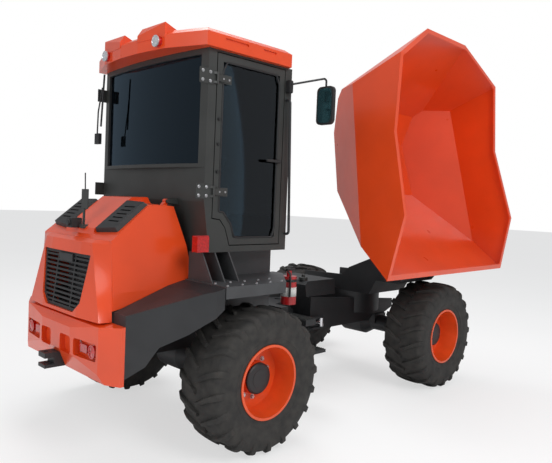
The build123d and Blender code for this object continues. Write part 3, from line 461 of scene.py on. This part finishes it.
# doors, mirrors, lamps and bolts of each side
seal_line = [(-0.078, 1.710), (0.390, 1.710), (0.390, 3.120), (-0.250, 3.120), (-0.250, 1.923),
             (-0.200, 1.917), (-0.117, 1.821)]
for hand_name, hand in (("right", -1), ("left", 1)):
    body = "door_" + hand_name
    loop = []
    for i, (x, z) in enumerate(seal_line):
        x2, z2 = seal_line[(i + 1) % len(seal_line)]
        loop += [spot(x + (x2 - x) * t, hand * 0.7985, z + (z2 - z) * t) for t in (0.06, 0.35, 0.65, 0.94)]
    finish_mesh("door_seal_" + hand_name, *tube(loop, 0.009, 8, closed=True), seal, body, smooth=True)
    y0, y1 = sorted((hand * DOOR_FACE, hand * PLATE_FACE))
    plates = [block((-0.285, y0, z - 0.035), (-0.165, y1, z + 0.035)) for z in HINGES]
    finish_mesh("hinge_strap_" + hand_name, *joined(plates), cab_grey, body, bevel=0.002)
    places = [spot(x, hand * PLATE_FACE, z) for z in HINGES for x in (-0.255, -0.195)]
    bolts("hinge_bolts_" + hand_name, places, (0, hand, 0), steel, body, 0.011)
    handle_foot = sorted((hand * DOOR_FACE, hand * 0.830))
    handle_bar = sorted((hand * 0.826, hand * 0.842))
    grip = [block((0.375, handle_foot[0], 2.355), (0.410, handle_foot[1], 2.390)),
            block((0.235, handle_bar[0], 2.360), (0.412, handle_bar[1], 2.384))]
    finish_mesh("door_handle_" + hand_name, *joined(grip), plastic, body, bevel=0.004)
    knobs = [spot(-0.280, hand * DOOR_FACE, z) for z in (2.66, 2.46, 2.24)]
    bolts("door_fixings_" + hand_name, knobs, (0, hand, 0), hub_black, body, 0.014)
    plates = [block((-0.490, y0, z - 0.060), (-0.350, y1, z + 0.060)) for z in HINGES]
    finish_mesh("pillar_plates_" + hand_name, *joined(plates), cab_grey, "rear", bevel=0.002)
    corners = [(x, dz) for x in (-0.460, -0.385) for dz in (-0.035, 0.035)]
    places = [spot(x, hand * PLATE_FACE, z + dz) for z in HINGES for x, dz in corners]
    bolts("pillar_bolts_" + hand_name, places, (0, hand, 0), steel, "rear", 0.012)

    # mirrors with their glass, and the arm's mount
    oval = []
    for i in range(40):
        t = 2 * math.pi * i / 40
        wide = 0.080 * math.copysign(abs(math.cos(t)) ** 0.5, math.cos(t))
        high = 0.155 * math.copysign(abs(math.sin(t)) ** 0.4, math.sin(t))
        oval.append(spot(0.7615, hand * 1.005 + wide, 2.900 + high))
    finish_mesh("mirror_glass_" + hand_name, *slab(oval, 0.003, (-1, 0, 0)), mirror_face, "rear")
    y0, y1 = sorted((hand * 0.798, hand * 0.850))
    mount = block((0.465, y0, 2.985), (0.515, y1, 3.095))
    finish_mesh("mirror_mount_" + hand_name, *mount, plastic, "rear", bevel=0.006)

    # work lamps and bumper lamps
    for x, way, end in ((-0.640, -1, "rear"), (0.595, 1, "front")):
        rim_ring = lathe(WORK_LAMP, spot(x, hand * 0.405, 3.265), (way, 0, 0), 32)
        finish_mesh("work_lamp_" + end + "_" + hand_name, *rim_ring, lens, "rear")
    lamp_ring = lathe(BUMPER_LAMP, spot(-1.179, hand * 0.540, 0.865), (-1, 0, 0), 32)
    finish_mesh("bumper_lamp_ring_" + hand_name, *lamp_ring, lamp_red, "rear")
    places = [spot(-1.157, hand * y, z) for y in (0.325, 0.590) for z in (0.830, 0.900)]
    bolts("bumper_bolts_" + hand_name, places, (-1, 0, 0), steel, "rear", 0.010)
    places = [spot(x, hand * y, 1.368) for y in (1.115, 0.970) for x in PLATFORM_BOLT_X]
    bolts("platform_bolts_" + hand_name, places, (0, 0, 1), steel, "rear", 0.011)

# rear screen wiper
wiper = [block((-0.545, 0.660, 2.50), (-0.514, 0.740, 2.60))]
wiper.append(tube([spot(-0.540, 0.70, 2.55), spot(-0.556, 0.66, 2.80), spot(-0.552, 0.60, 3.02)], 0.007))
wiper.append(tube([spot(-0.546, 0.62, 2.66), spot(-0.546, 0.58, 3.14)], 0.009))
finish_mesh("rear_wiper", *joined(wiper), plastic, "rear")

# camera and plate on the bonnet's crown
case = block((-1.100, 0.010, 1.745), (-1.010, 0.100, 1.825))
eye = lathe([(0, 0.026), (0.016, 0.026), (0.018, 0.0)], spot(-1.100, 0.055, 1.785), (-1, 0, 0), 24)
finish_mesh("rear_camera", *joined([case, eye]), plastic, "bonnet", bevel=0.003)
flag = joined([
    block((-1.030, -0.115, 1.900), (-1.022, -0.005, 2.060)),
    block((-1.050, -0.090, 1.745), (-0.980, -0.020, 1.775)),
    block((-1.034, -0.070, 1.770), (-1.024, -0.040, 1.905)),
])
finish_mesh("crown_plate", *flag, cab_grey, "bonnet", bevel=0.002)
rod = tube([spot(-1.026, -0.060, 2.050), spot(-1.026, -0.052, 2.190)], 0.005)
finish_mesh("crown_rod", *rod, black_paint, "bonnet")
blank = block((-1.145, -0.120, 1.480), (-1.125, 0.120, 1.545))
finish_mesh("grille_plate", *blank, hub_black, "bonnet", bevel=0.004)

# fire extinguisher's band, handle and hose
foot = spot(0.690, -0.725, 0)
band_line = [(1.150, 0.0725), (1.150, 0.0735), (1.235, 0.0735), (1.235, 0.0725)]
band = lathe(band_line, foot, (0, 0, 1), 40)
finish_mesh("extinguisher_band", *band, label_white, "rear", smooth=True)
strap_line = [(1.285, 0.0725), (1.285, 0.0750), (1.310, 0.0750), (1.310, 0.0725)]
strap = lathe(strap_line, foot, (0, 0, 1), 40)
finish_mesh("extinguisher_strap", *strap, hub_black, "rear", smooth=True)
hose_points = [spot(0.665, -0.74, 1.375), spot(0.640, -0.785, 1.36), spot(0.632, -0.800, 1.28),
               spot(0.640, -0.790, 1.15)]
head = joined([
    block((0.655, -0.738, 1.385), (0.760, -0.712, 1.402)),
    block((0.650, -0.736, 1.412), (0.740, -0.714, 1.420)),
    tube(smooth_path(hose_points), 0.009),
])
finish_mesh("extinguisher_head", *head, plastic, "rear")

# filler cap on the service box
cap_line = [(0, 0.050), (0.030, 0.050), (0.034, 0.046), (0.034, 0.020), (0.062, 0.018), (0.064, 0.0)]
filler = lathe(cap_line, spot(1.470, -0.200, 1.180), (0, 0, 1), 32)
finish_mesh("filler_cap", *filler, cab_grey, "front")

# step treads
for hand_name, hand in (("right", -1), ("left", 1)):
    ribs = []
    for x in (0.882, 0.916, 0.950, 0.984):
        y0, y1 = sorted((hand * 0.450, hand * 0.790))
        ribs.append(block((x, y0, 0.905), (x + 0.012, y1, 0.914)))
    for k in range(9):
        y = hand * (0.580 + 0.025 * k)
        ribs.append(block((1.000, y - 0.004, 0.590), (1.170, y + 0.004, 0.597)))
    finish_mesh("step_ribs_" + hand_name, *joined(ribs), cab_grey, "rear")


# floor and soft studio light
ground_mesh = bpy.data.meshes.new("studio_floor")
ground_mesh.from_pydata([(-60, -60, 0), (60, -60, 0), (60, 60, 0), (-60, 60, 0)], [], [(0, 1, 2, 3)])
ground = bpy.data.objects.new("studio_floor", ground_mesh)
bpy.context.collection.objects.link(ground)
floor_paint = material("studio_floor", (0.93, 0.93, 0.93), 0.9)
add_noise(floor_paint, 0.4, (0.92, 0.92, 0.92), (0.94, 0.94, 0.94))
floor_tree = floor_paint.node_tree
glow = floor_tree.nodes.new("ShaderNodeEmission")
glow.inputs["Color"].default_value = (1, 1, 1, 1)
floor_seen = floor_tree.nodes.new("ShaderNodeLightPath")
share = floor_tree.nodes.new("ShaderNodeMath")
share.operation = "MULTIPLY"
share.inputs[1].default_value = 0.60
floor_mix = floor_tree.nodes.new("ShaderNodeMixShader")
floor_tree.links.new(floor_seen.outputs["Is Camera Ray"], share.inputs[0])
floor_tree.links.new(share.outputs["Value"], floor_mix.inputs["Fac"])
floor_tree.links.new(floor_tree.nodes["Principled BSDF"].outputs["BSDF"], floor_mix.inputs[1])
floor_tree.links.new(glow.outputs["Emission"], floor_mix.inputs[2])
floor_tree.links.new(floor_mix.outputs["Shader"], floor_tree.nodes["Material Output"].inputs["Surface"])
ground_mesh.materials.append(floor_paint)

world = bpy.data.worlds.new("studio")
bpy.context.scene.world = world
world.use_nodes = True
tree = world.node_tree
background = tree.nodes["Background"]
background.inputs["Color"].default_value = (0.95, 0.97, 1.0, 1)
background.inputs["Strength"].default_value = 0.45
white = tree.nodes.new("ShaderNodeBackground")
white.inputs["Color"].default_value = (1, 1, 1, 1)
seen = tree.nodes.new("ShaderNodeLightPath")
choose = tree.nodes.new("ShaderNodeMixShader")
tree.links.new(seen.outputs["Is Camera Ray"], choose.inputs["Fac"])
tree.links.new(background.outputs["Background"], choose.inputs[1])
tree.links.new(white.outputs["Background"], choose.inputs[2])
tree.links.new(choose.outputs["Shader"], tree.nodes["World Output"].inputs["Surface"])


def area_light(name, place, aim, size, power):
    lamp = bpy.data.lights.new(name, "AREA")
    lamp.shape = "DISK"
    lamp.size = size
    lamp.energy = power
    thing = bpy.data.objects.new(name, lamp)
    thing.location = place
    thing.rotation_euler = (Vector(aim) - Vector(place)).to_track_quat("-Z", "Y").to_euler()
    bpy.context.collection.objects.link(thing)


area_light("key", (-1.5, -9.0, 7.5), (0, 0, 1.4), 5.0, 480)
area_light("fill", (-9.0, -2.0, 4.5), (-1, 0, 1.2), 6.0, 170)
area_light("top", (0.5, 1.5, 9.0), (0, 0, 1.0), 6.0, 380)

# camera where the photograph was taken
yaw, pitch, roll = math.radians(44.359), math.radians(-1.993), math.radians(2.327)
ahead = Vector((math.sin(yaw) * math.cos(pitch), math.cos(yaw) * math.cos(pitch), math.sin(pitch)))
right = Vector((math.cos(yaw), -math.sin(yaw), 0))
up = right.cross(ahead)
right_rolled = right * math.cos(roll) + up * math.sin(roll)
up_rolled = up * math.cos(roll) - right * math.sin(roll)
view = bpy.data.cameras.new("camera")
view.sensor_width = 36
view.lens = 37.777
view.shift_x = 0.0137
view.shift_y = -0.0173
view.clip_end = 200
camera = bpy.data.objects.new("camera", view)
turn = Matrix((right_rolled, up_rolled, -ahead)).transposed().to_4x4()
camera.matrix_world = Matrix.Translation(spot(-3.2223, -4.4216, 2.0170)) @ turn
bpy.context.collection.objects.link(camera)
bpy.context.scene.camera = camera
bpy.context.scene.view_settings.view_transform = "Standard"
